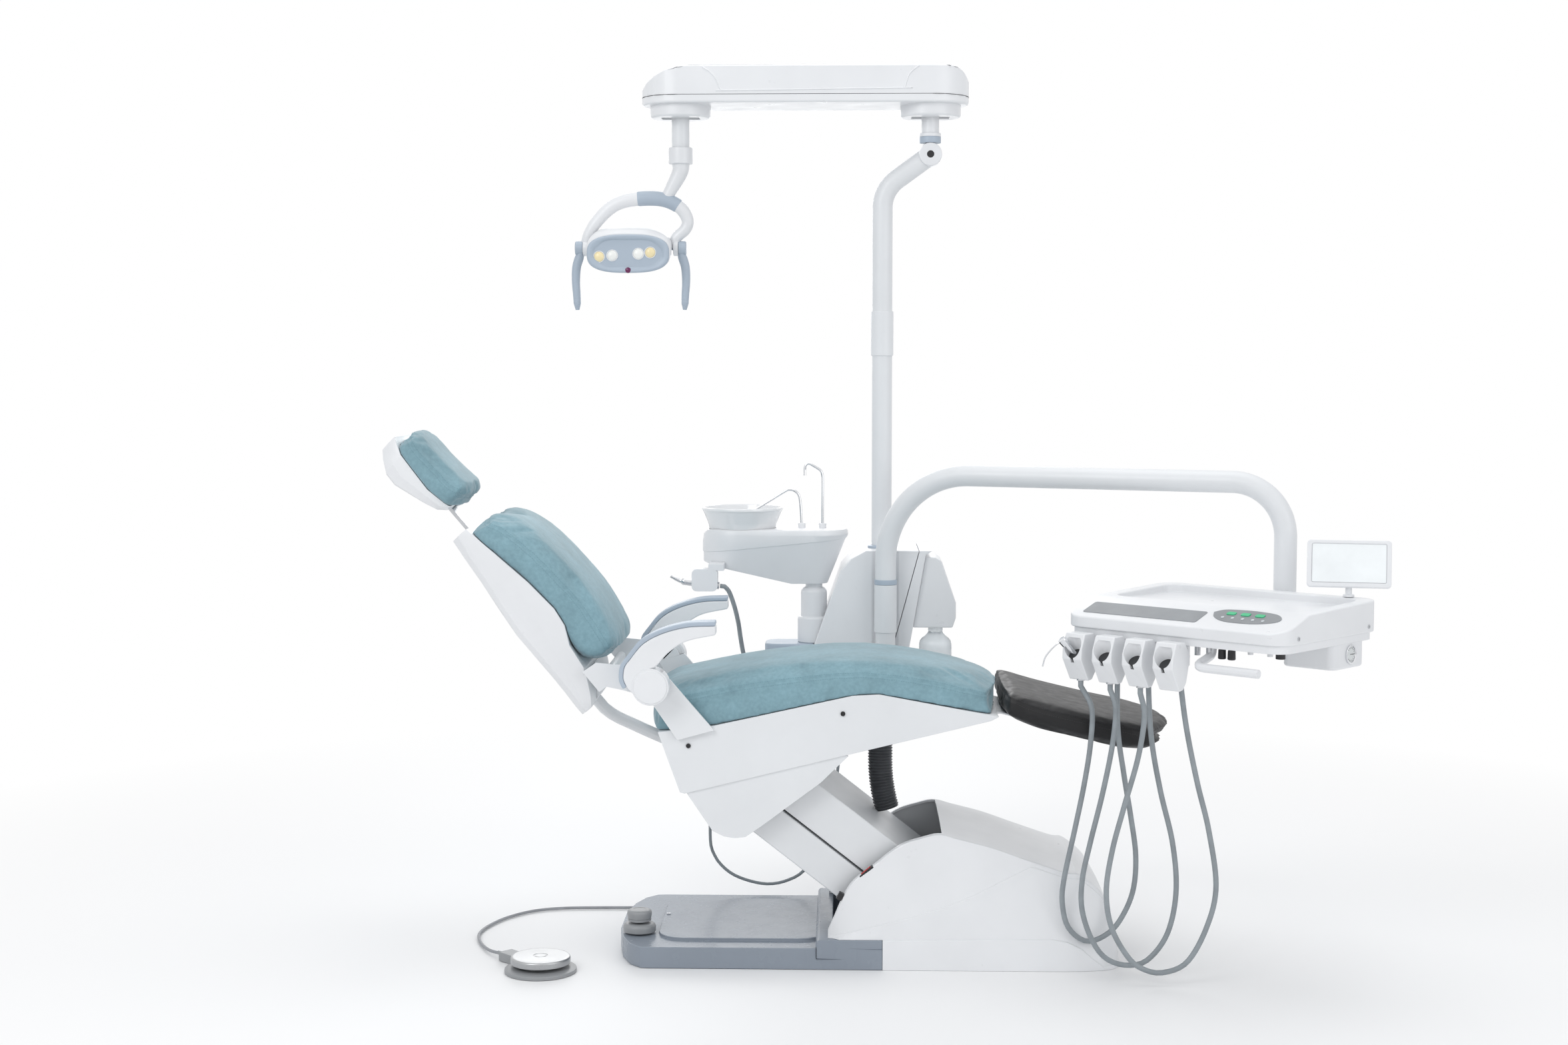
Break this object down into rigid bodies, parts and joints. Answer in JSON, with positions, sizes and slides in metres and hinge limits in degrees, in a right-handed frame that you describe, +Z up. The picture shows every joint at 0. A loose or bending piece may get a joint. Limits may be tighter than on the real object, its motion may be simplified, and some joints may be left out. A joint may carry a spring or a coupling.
{
  "type": "dental unit",
  "caption": "Dental patient chair on a parallel-link lift, with operating lamp, cuspidor, side box and swinging instrument tray.",
  "frame": {"origin": "on the floor, in the chair's middle plane, below the lifting links", "axes": "+X to the patient's feet, +Y to the side box, +Z up"},
  "size_m": [2.2034, 1.1304, 2.03],
  "materials": {
    "base_frame": "satin grey paint",
    "base_cover": "glossy grey moulding",
    "rear_cover": "smooth off-white moulding",
    "power_rocker": "red rocker",
    "foot_switch_skirt": "grey moulding",
    "foot_switch_cap": "grey cap",
    "pedal_base": "grey moulding",
    "pedal_disc": "brushed metal disc",
    "pedal_cable": "grey cable sheath",
    "upper_link": "white powder coat",
    "lower_link": "white powder coat",
    "seat_frame": "white powder coat",
    "link_bracket": "white powder coat",
    "seat_cushion": "suede-like pale teal upholstery",
    "foot_cushion": "black smooth upholstery",
    "conduit_hose": "dark ribbed hose",
    "backrest_shell": "smooth white moulding",
    "backrest_cushion": "suede-like pale teal upholstery",
    "backrest_frame": "white powder coat",
    "back_arch": "white paint",
    "headrest_bar": "brushed bar",
    "headrest_shell": "smooth white moulding",
    "headrest_cushion": "suede-like pale teal upholstery",
    "side_box": "smooth white moulding",
    "bottle_housing": "smooth white moulding",
    "water_bottle": "translucent bottle",
    "cuspidor_bracket": "blue-grey moulding",
    "cuspidor_column": "white moulding",
    "cuspidor_housing": "white moulding",
    "bowl": "glossy white bowl",
    "cup_filler": "polished tube",
    "bowl_rinser": "polished tube",
    "suction_holder": "white moulding",
    "suction_handpiece": "steel handpiece",
    "suction_hose": "grey hose",
    "drain_hose": "grey hose",
    "lamp_pole": "white paint",
    "lamp_swivel": "blue-grey collar",
    "lamp_arm": "smooth white moulding",
    "lamp_drop_tube": "white paint",
    "lamp_yoke": "white paint",
    "lamp_head": "smooth white moulding",
    "lamp_bezel": "blue-grey face",
    "lamp_handles": "blue-grey grips",
    "delivery_arm": "white paint",
    "tray_top": "smooth white moulding",
    "tray_base": "smooth white moulding",
    "instrument_holders": "smooth white moulding",
    "hose_1": "grey hose",
    "hose_2": "grey hose",
    "hose_3": "grey hose",
    "syringe": "steel syringe",
    "viewer": "white housing, pale screen",
    "valve_knob": "black knob",
    "armrest_plate_near": "white powder coat",
    "armrest_near": "smooth white moulding",
    "armrest_pad_near": "blue-grey soft pad",
    "armrest_plate_far": "white powder coat",
    "armrest_far": "smooth white moulding",
    "armrest_pad_far": "blue-grey soft pad"
  },
  "bodies": {
    "base": {"base_frame": "base_frame", "base_cover": "base_cover", "rear_cover": "rear_cover", "pedal_base": "pedal_base", "pedal_cable": "pedal_cable"},
    "power_rocker": {"power_rocker": "power_rocker"},
    "foot_switch_skirt": {"foot_switch_skirt": "foot_switch_skirt"},
    "foot_switch_cap": {"foot_switch_cap": "foot_switch_cap"},
    "pedal_disc": {"pedal_disc": "pedal_disc"},
    "upper_link": {"upper_link": "upper_link"},
    "lower_link": {"lower_link": "lower_link"},
    "seat": {"seat_frame": "seat_frame", "link_bracket": "link_bracket", "seat_cushion": "seat_cushion", "foot_cushion": "foot_cushion", "conduit_hose": "conduit_hose", "armrest_plate_near": "armrest_plate_near", "armrest_plate_far": "armrest_plate_far", "side_box": "side_box", "bottle_housing": "bottle_housing", "cuspidor_bracket": "cuspidor_bracket", "drain_hose": "drain_hose", "lamp_pole": "lamp_pole"},
    "backrest": {"backrest_shell": "backrest_shell", "backrest_cushion": "backrest_cushion", "backrest_frame": "backrest_frame", "back_arch": "back_arch"},
    "headrest_bar": {"headrest_bar": "headrest_bar"},
    "headrest": {"headrest_shell": "headrest_shell", "headrest_cushion": "headrest_cushion"},
    "armrest_near": {"armrest_near": "armrest_near", "armrest_pad_near": "armrest_pad_near"},
    "armrest_far": {"armrest_far": "armrest_far", "armrest_pad_far": "armrest_pad_far"},
    "water_bottle": {"water_bottle": "water_bottle"},
    "cuspidor": {"cuspidor_column": "cuspidor_column", "cuspidor_housing": "cuspidor_housing", "suction_holder": "suction_holder", "suction_handpiece": "suction_handpiece", "suction_hose": "suction_hose"},
    "bowl": {"bowl": "bowl"},
    "cup_filler": {"cup_filler": "cup_filler"},
    "bowl_rinser": {"bowl_rinser": "bowl_rinser"},
    "delivery_arm": {"delivery_arm": "delivery_arm"},
    "tray": {"tray_top": "tray_top", "tray_base": "tray_base", "instrument_holders": "instrument_holders", "hose_1": "hose_1", "hose_2": "hose_2", "hose_3": "hose_3", "syringe": "syringe"},
    "viewer": {"viewer": "viewer"},
    "valve_knob": {"valve_knob": "valve_knob"},
    "lamp_swivel": {"lamp_swivel": "lamp_swivel"},
    "lamp_arm": {"lamp_arm": "lamp_arm"},
    "lamp_drop_tube": {"lamp_drop_tube": "lamp_drop_tube"},
    "lamp_yoke": {"lamp_yoke": "lamp_yoke"},
    "lamp_head": {"lamp_head": "lamp_head", "lamp_bezel": "lamp_bezel", "lamp_handles": "lamp_handles"}
  },
  "joints": [
    {"name": "lift", "type": "hinge", "parent": "base", "child": "upper_link", "pos_m": [0.125, 0, 0.159], "axis": [0, 1, 0], "range_deg": [-27.9, 10], "deforming": ["conduit_hose", "drain_hose", "hose_1", "hose_2", "hose_3"]},
    {"name": "lower_link_turn", "type": "hinge", "parent": "base", "child": "lower_link", "pos_m": [0.08246, 0, 0.07867], "axis": [0, 1, 0], "range_deg": [-28, 10.1]},
    {"name": "seat_level", "type": "hinge", "parent": "upper_link", "child": "seat", "pos_m": [-0.20641, 0, 0.417], "axis": [0, 1, 0], "range_deg": [-10.1, 28]},
    {"name": "backrest_recline", "type": "hinge", "parent": "seat", "child": "backrest", "pos_m": [-0.46302, 0, 0.624], "axis": [0, 1, 0], "range_deg": [-36, 20]},
    {"name": "headrest_height", "type": "slide", "parent": "backrest", "child": "headrest_bar", "axis": [-0.6465, 0, 0.7629], "range_m": [0, 0.08]},
    {"name": "headrest_tilt", "type": "hinge", "parent": "headrest_bar", "child": "headrest", "pos_m": [-0.944, 0, 1.00286], "axis": [0, 1, 0], "range_deg": [-15, 20]},
    {"name": "armrest_near_swing", "type": "hinge", "parent": "seat", "child": "armrest_near", "pos_m": [-0.46302, -0.2255, 0.624], "axis": [0, 1, 0], "range_deg": [-80, 0]},
    {"name": "armrest_far_swing", "type": "hinge", "parent": "seat", "child": "armrest_far", "pos_m": [-0.46302, 0.2255, 0.624], "axis": [0, 1, 0], "range_deg": [-80, 0]},
    {"name": "power_rocker_press", "type": "hinge", "parent": "base", "child": "power_rocker", "pos_m": [0.003, -0.1915, 0.2075], "axis": [0, 1, 0], "range_deg": [-3, 3]},
    {"name": "foot_switch_tilt_x", "type": "hinge", "parent": "base", "child": "foot_switch_skirt", "pos_m": [-0.503, -0.115, 0.0473], "axis": [0, 1, 0], "range_deg": [-5, 5], "stiffness_Nm_per_rad": 1.5},
    {"name": "foot_switch_tilt_y", "type": "hinge", "parent": "foot_switch_skirt", "child": "foot_switch_cap", "pos_m": [-0.503, -0.115, 0.0711], "axis": [1, 0, 0], "range_deg": [-5, 5], "stiffness_Nm_per_rad": 1.2},
    {"name": "pedal_press", "type": "slide", "parent": "base", "child": "pedal_disc", "axis": [0, 0, 1], "range_m": [-0.004, 0], "stiffness_N_per_m": 3000, "springref_m": 0.002},
    {"name": "bottle_unscrew", "type": "hinge", "parent": "seat", "child": "water_bottle", "pos_m": [0.17799, 0.44, 0.696], "axis": [0, 0, 1], "range_deg": [0, 180]},
    {"name": "cuspidor_swing", "type": "hinge", "parent": "seat", "child": "cuspidor", "pos_m": [-0.12101, 0.44, 0.6333], "axis": [0, 0, 1], "range_deg": [-20, 50], "deforming": ["suction_hose"]},
    {"name": "bowl_lift_off", "type": "slide", "parent": "cuspidor", "child": "bowl", "axis": [0, 0, 1], "range_m": [0, 0.026]},
    {"name": "cup_filler_turn", "type": "hinge", "parent": "cuspidor", "child": "cup_filler", "pos_m": [-0.10002, 0.44, 0.9138], "axis": [0, 0, 1], "range_deg": [-60, 30]},
    {"name": "bowl_rinser_turn", "type": "hinge", "parent": "cuspidor", "child": "bowl_rinser", "pos_m": [-0.15102, 0.44, 0.9138], "axis": [0, 0, 1], "range_deg": [-30, 30]},
    {"name": "delivery_arm_swing", "type": "hinge", "parent": "seat", "child": "delivery_arm", "pos_m": [0.05298, 0.3275, 0.7863], "axis": [0, 0, 1], "range_deg": [-35, 85]},
    {"name": "tray_swing", "type": "hinge", "parent": "delivery_arm", "child": "tray", "pos_m": [0.93298, -0.05, 0.7], "axis": [0, 0, 1], "range_deg": [-60, 60]},
    {"name": "viewer_tilt", "type": "hinge", "parent": "tray", "child": "viewer", "pos_m": [1.03621, -0.21445, 0.8303], "axis": [0.7431, -0.6691, 0], "range_deg": [0, 8]},
    {"name": "valve_knob_turn", "type": "hinge", "parent": "tray", "child": "valve_knob", "pos_m": [0.8451, -0.4536, 0.7327], "axis": [0, 0, 1], "range_deg": [-90, 90]},
    {"name": "lamp_swing", "type": "hinge", "parent": "seat", "child": "lamp_swivel", "pos_m": [0.15998, 0.45, 1.8503], "axis": [0, 0, 1], "range_deg": [-100, 60]},
    {"name": "lamp_arm_raise", "type": "hinge", "parent": "lamp_swivel", "child": "lamp_arm", "pos_m": [0.15998, 0.45, 1.955], "axis": [0, 1, 0], "range_deg": [-18, 18]},
    {"name": "lamp_drop_level", "type": "hinge", "parent": "lamp_arm", "child": "lamp_drop_tube", "pos_m": [-0.44701, 0.45, 1.955], "axis": [0, 1, 0], "range_deg": [-18.1, 18.1]},
    {"name": "lamp_yoke_turn", "type": "hinge", "parent": "lamp_drop_tube", "child": "lamp_yoke", "pos_m": [-0.44701, 0.45, 1.841], "axis": [0, 0, 1], "range_deg": [-90, 90]},
    {"name": "lamp_head_tilt", "type": "hinge", "parent": "lamp_yoke", "child": "lamp_head", "pos_m": [-0.57002, 0.45, 1.598], "axis": [1, 0, 0], "range_deg": [-10, 45]}
  ],
  "couplings": [
    {"joint": "lower_link_turn", "follows": "lift", "ratio": 1},
    {"joint": "seat_level", "follows": "lift", "ratio": -1},
    {"joint": "lamp_drop_level", "follows": "lamp_arm_raise", "ratio": -1}
  ]
}
